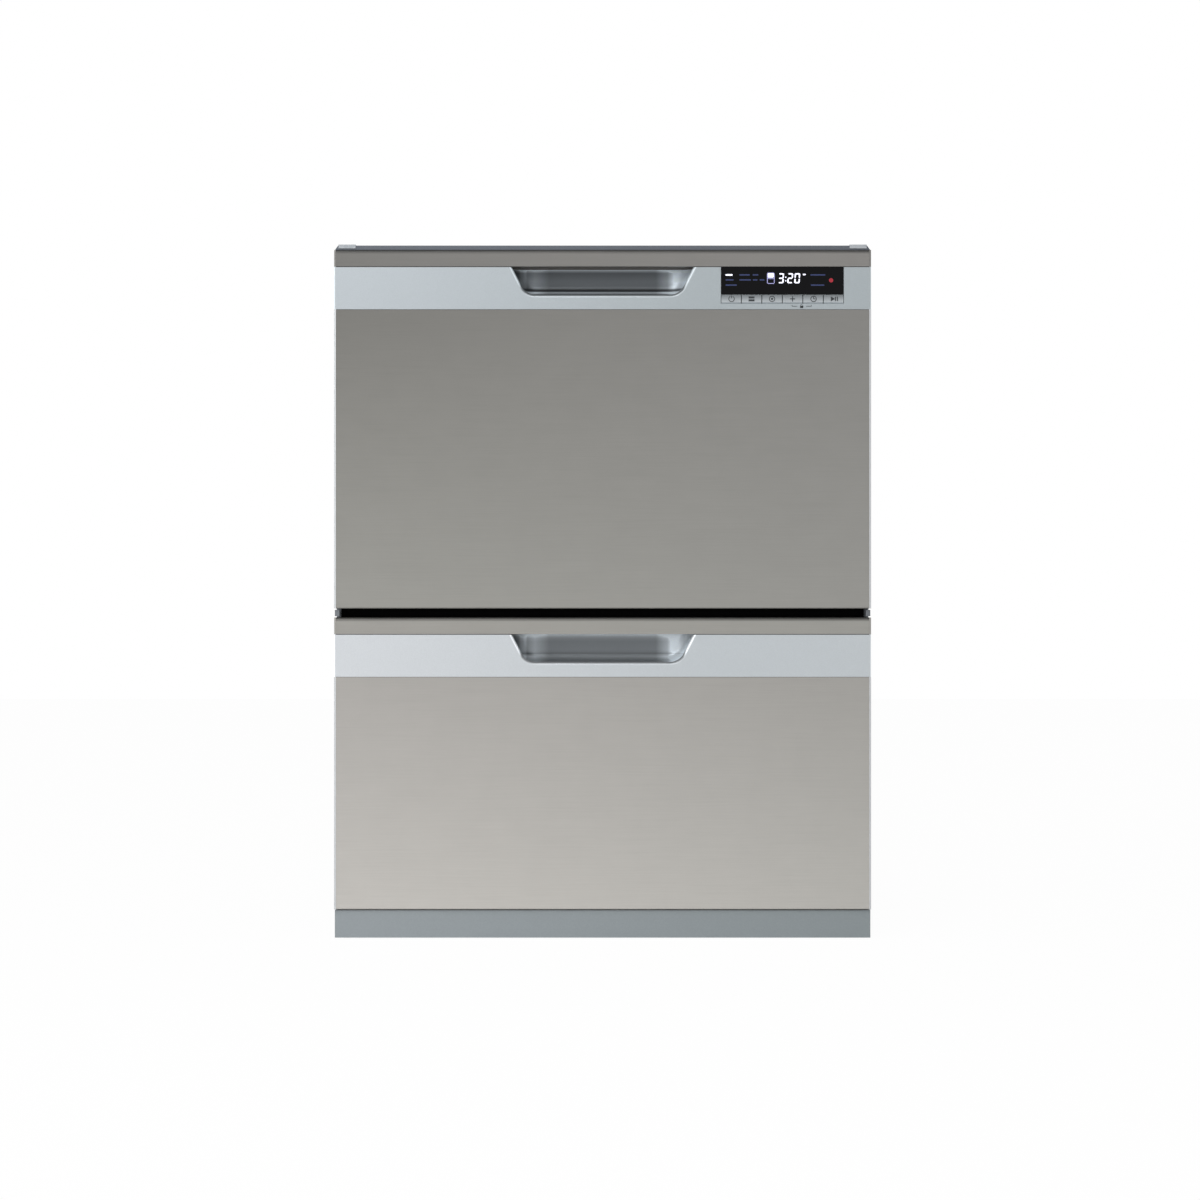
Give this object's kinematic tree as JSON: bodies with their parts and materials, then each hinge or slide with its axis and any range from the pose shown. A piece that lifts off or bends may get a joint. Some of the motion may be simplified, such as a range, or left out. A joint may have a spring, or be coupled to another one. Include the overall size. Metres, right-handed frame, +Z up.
{
  "type": "double drawer dishwasher",
  "caption": "Built-under dishwasher with stacked pull-out wash drawers: stainless fronts, silver handle bands with finger scoops, display with buttons, kick strip.",
  "frame": {"origin": "on the floor under the middle of the object's box", "axes": "+Z up, front towards -Y, +X to the right of a person facing the front"},
  "size_m": [0.598, 0.57, 0.774],
  "materials": {
    "stainless": "brushed along X",
    "silver_frame": "satin silver",
    "chassis_steel": "satin grey",
    "galvanised": "galvanised",
    "dark_plastic": "matte",
    "liner_plastic": "matte",
    "tub_plastic": "satin",
    "lid_plastic": "satin",
    "seal_rubber": "matte",
    "window": "gloss",
    "button_silver": "satin",
    "circuit_board": "matte",
    "rack_nylon": "satin",
    "grey_plastic": "satin",
    "filter_steel": "satin",
    "motor_plastic": "matte",
    "white_plastic": "satin",
    "screw_steel": "bright",
    "kick_paint": "satin grey"
  },
  "bodies": {
    "chassis": {"chassis_base": "galvanised", "chassis_side_left": "chassis_steel", "chassis_side_right": "chassis_steel", "chassis_top": "chassis_steel", "chassis_rear": "galvanised", "chassis_middle_rail": "dark_plastic", "chassis_screws": "screw_steel", "kick_strip": "kick_paint", "worktop_brackets": "galvanised", "lid_lifters": "dark_plastic", "water_inlet_valve": "white_plastic", "drain_spigot": "grey_plastic", "cord_gland": "dark_plastic", "runner_outers": "galvanised"},
    "foot_front_left": {"levelling_foot_front_left": "dark_plastic"},
    "foot_front_right": {"levelling_foot_front_right": "dark_plastic"},
    "foot_rear_left": {"levelling_foot_rear_left": "dark_plastic"},
    "foot_rear_right": {"levelling_foot_rear_right": "dark_plastic"},
    "upper_drawer": {"upper_front_frame": "silver_frame", "upper_front_panel": "stainless", "upper_top_strip": "stainless", "upper_inner_panel": "liner_plastic", "upper_tub": "tub_plastic", "upper_runner_inners": "galvanised", "upper_wash_pump": "motor_plastic", "upper_filter_plate": "filter_steel", "upper_dispenser_body": "tub_plastic", "upper_rack": "rack_nylon", "display_window": "window", "control_board": "circuit_board", "upper_cutlery_basket": "grey_plastic"},
    "upper_runner_middle": {"upper_runner_middles": "galvanised"},
    "upper_lid": {"upper_lid": "lid_plastic", "upper_lid_seal": "seal_rubber"},
    "upper_spray_arm": {"upper_spray_arm": "grey_plastic"},
    "upper_filter": {"upper_filter_cup": "grey_plastic"},
    "upper_dispenser_cover": {"upper_dispenser_cover": "grey_plastic"},
    "lower_drawer": {"lower_front_frame": "silver_frame", "lower_front_panel": "stainless", "lower_top_strip": "stainless", "lower_inner_panel": "liner_plastic", "lower_tub": "tub_plastic", "lower_runner_inners": "galvanised", "lower_wash_pump": "motor_plastic", "lower_filter_plate": "filter_steel", "lower_dispenser_body": "tub_plastic", "lower_rack": "rack_nylon"},
    "lower_runner_middle": {"lower_runner_middles": "galvanised"},
    "lower_lid": {"lower_lid": "lid_plastic", "lower_lid_seal": "seal_rubber"},
    "lower_spray_arm": {"lower_spray_arm": "grey_plastic"},
    "lower_filter": {"lower_filter_cup": "grey_plastic"},
    "lower_dispenser_cover": {"lower_dispenser_cover": "grey_plastic"},
    "cup_shelf": {"upper_cup_shelf": "rack_nylon"},
    "button_power": {"button_power": "button_silver"},
    "button_wash": {"button_wash": "button_silver"},
    "button_program": {"button_program": "button_silver"},
    "button_function": {"button_function": "button_silver"},
    "button_delay": {"button_delay": "button_silver"},
    "button_start": {"button_start": "button_silver"}
  },
  "joints": [
    {"name": "foot_front_left_adjust", "type": "slide", "parent": "chassis", "child": "foot_front_left", "axis": [0, 0, -1], "range_m": [0, 0.015]},
    {"name": "foot_front_right_adjust", "type": "slide", "parent": "chassis", "child": "foot_front_right", "axis": [0, 0, -1], "range_m": [0, 0.015]},
    {"name": "foot_rear_left_adjust", "type": "slide", "parent": "chassis", "child": "foot_rear_left", "axis": [0, 0, -1], "range_m": [0, 0.015]},
    {"name": "foot_rear_right_adjust", "type": "slide", "parent": "chassis", "child": "foot_rear_right", "axis": [0, 0, -1], "range_m": [0, 0.015]},
    {"name": "upper_drawer_slide", "type": "slide", "parent": "chassis", "child": "upper_drawer", "axis": [0, -1, 0], "range_m": [0, 0.46]},
    {"name": "upper_runner_slide", "type": "slide", "parent": "chassis", "child": "upper_runner_middle", "axis": [0, -1, 0], "range_m": [0, 0.23]},
    {"name": "upper_lid_lift", "type": "slide", "parent": "chassis", "child": "upper_lid", "axis": [0, 0, 1], "range_m": [0, 0.008]},
    {"name": "upper_spray_arm_spin", "type": "hinge", "parent": "upper_drawer", "child": "upper_spray_arm", "pos_m": [0, -0.004, 0.4551], "axis": [0, 0, 1], "continuous": true},
    {"name": "upper_filter_twist", "type": "hinge", "parent": "upper_drawer", "child": "upper_filter", "pos_m": [0.12, -0.12, 0.4441], "axis": [0, 0, 1], "range_deg": [0, 90]},
    {"name": "upper_dispenser_cover_slide", "type": "slide", "parent": "upper_drawer", "child": "upper_dispenser_cover", "axis": [1, 0, 0], "range_m": [0, 0.062]},
    {"name": "lower_drawer_slide", "type": "slide", "parent": "chassis", "child": "lower_drawer", "axis": [0, -1, 0], "range_m": [0, 0.46]},
    {"name": "lower_runner_slide", "type": "slide", "parent": "chassis", "child": "lower_runner_middle", "axis": [0, -1, 0], "range_m": [0, 0.23]},
    {"name": "lower_lid_lift", "type": "slide", "parent": "chassis", "child": "lower_lid", "axis": [0, 0, 1], "range_m": [0, 0.008]},
    {"name": "lower_spray_arm_spin", "type": "hinge", "parent": "lower_drawer", "child": "lower_spray_arm", "pos_m": [0, -0.004, 0.12], "axis": [0, 0, 1], "continuous": true},
    {"name": "lower_filter_twist", "type": "hinge", "parent": "lower_drawer", "child": "lower_filter", "pos_m": [0.12, -0.12, 0.109], "axis": [0, 0, 1], "range_deg": [0, 90]},
    {"name": "lower_dispenser_cover_slide", "type": "slide", "parent": "lower_drawer", "child": "lower_dispenser_cover", "axis": [1, 0, 0], "range_m": [0, 0.062]},
    {"name": "cup_shelf_fold", "type": "hinge", "parent": "upper_drawer", "child": "cup_shelf", "pos_m": [-0.244, 0, 0.6011], "axis": [0, -1, 0], "range_deg": [0, 85]},
    {"name": "button_power_press", "type": "slide", "parent": "upper_drawer", "child": "button_power", "axis": [0, 1, 0], "range_m": [0, 0.001], "stiffness_N_per_m": 600, "springref_m": -0.0008},
    {"name": "button_wash_press", "type": "slide", "parent": "upper_drawer", "child": "button_wash", "axis": [0, 1, 0], "range_m": [0, 0.001], "stiffness_N_per_m": 600, "springref_m": -0.0008},
    {"name": "button_program_press", "type": "slide", "parent": "upper_drawer", "child": "button_program", "axis": [0, 1, 0], "range_m": [0, 0.001], "stiffness_N_per_m": 600, "springref_m": -0.0008},
    {"name": "button_function_press", "type": "slide", "parent": "upper_drawer", "child": "button_function", "axis": [0, 1, 0], "range_m": [0, 0.001], "stiffness_N_per_m": 600, "springref_m": -0.0008},
    {"name": "button_delay_press", "type": "slide", "parent": "upper_drawer", "child": "button_delay", "axis": [0, 1, 0], "range_m": [0, 0.001], "stiffness_N_per_m": 600, "springref_m": -0.0008},
    {"name": "button_start_press", "type": "slide", "parent": "upper_drawer", "child": "button_start", "axis": [0, 1, 0], "range_m": [0, 0.001], "stiffness_N_per_m": 600, "springref_m": -0.0008}
  ],
  "couplings": [
    {"joint": "upper_runner_slide", "follows": "upper_drawer_slide", "ratio": 0.5},
    {"joint": "lower_runner_slide", "follows": "lower_drawer_slide", "ratio": 0.5}
  ]
}
